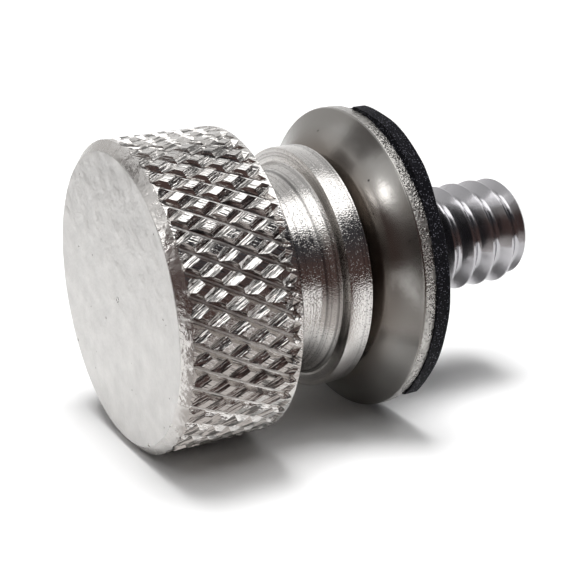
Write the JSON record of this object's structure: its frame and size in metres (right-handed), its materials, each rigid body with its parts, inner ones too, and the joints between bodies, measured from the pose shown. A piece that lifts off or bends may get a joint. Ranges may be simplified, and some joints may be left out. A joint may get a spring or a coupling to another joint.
{
  "type": "knurled seat bolt",
  "caption": "Short thumb bolt with a diamond-knurled head, a neck and a collar, carrying a domed metal washer with a rubber sealing ring on its stud.",
  "frame": {"origin": "centre of the head's flat end face, which the bolt stands on", "axes": "+Z along the bolt's axis, from the head to the stud's tip; X and Y are equivalent"},
  "size_m": [0.0136, 0.0134, 0.0192],
  "materials": {
    "turned_steel": "turned and knurled stainless steel, bare",
    "sheet_steel": "satin tumbled stainless sheet with a punched edge",
    "rubber": "matte black rubber"
  },
  "bodies": {
    "root": {"knurled_bolt": "turned_steel", "dome_washer": "sheet_steel", "rubber_seal": "rubber"}
  },
  "joints": []
}
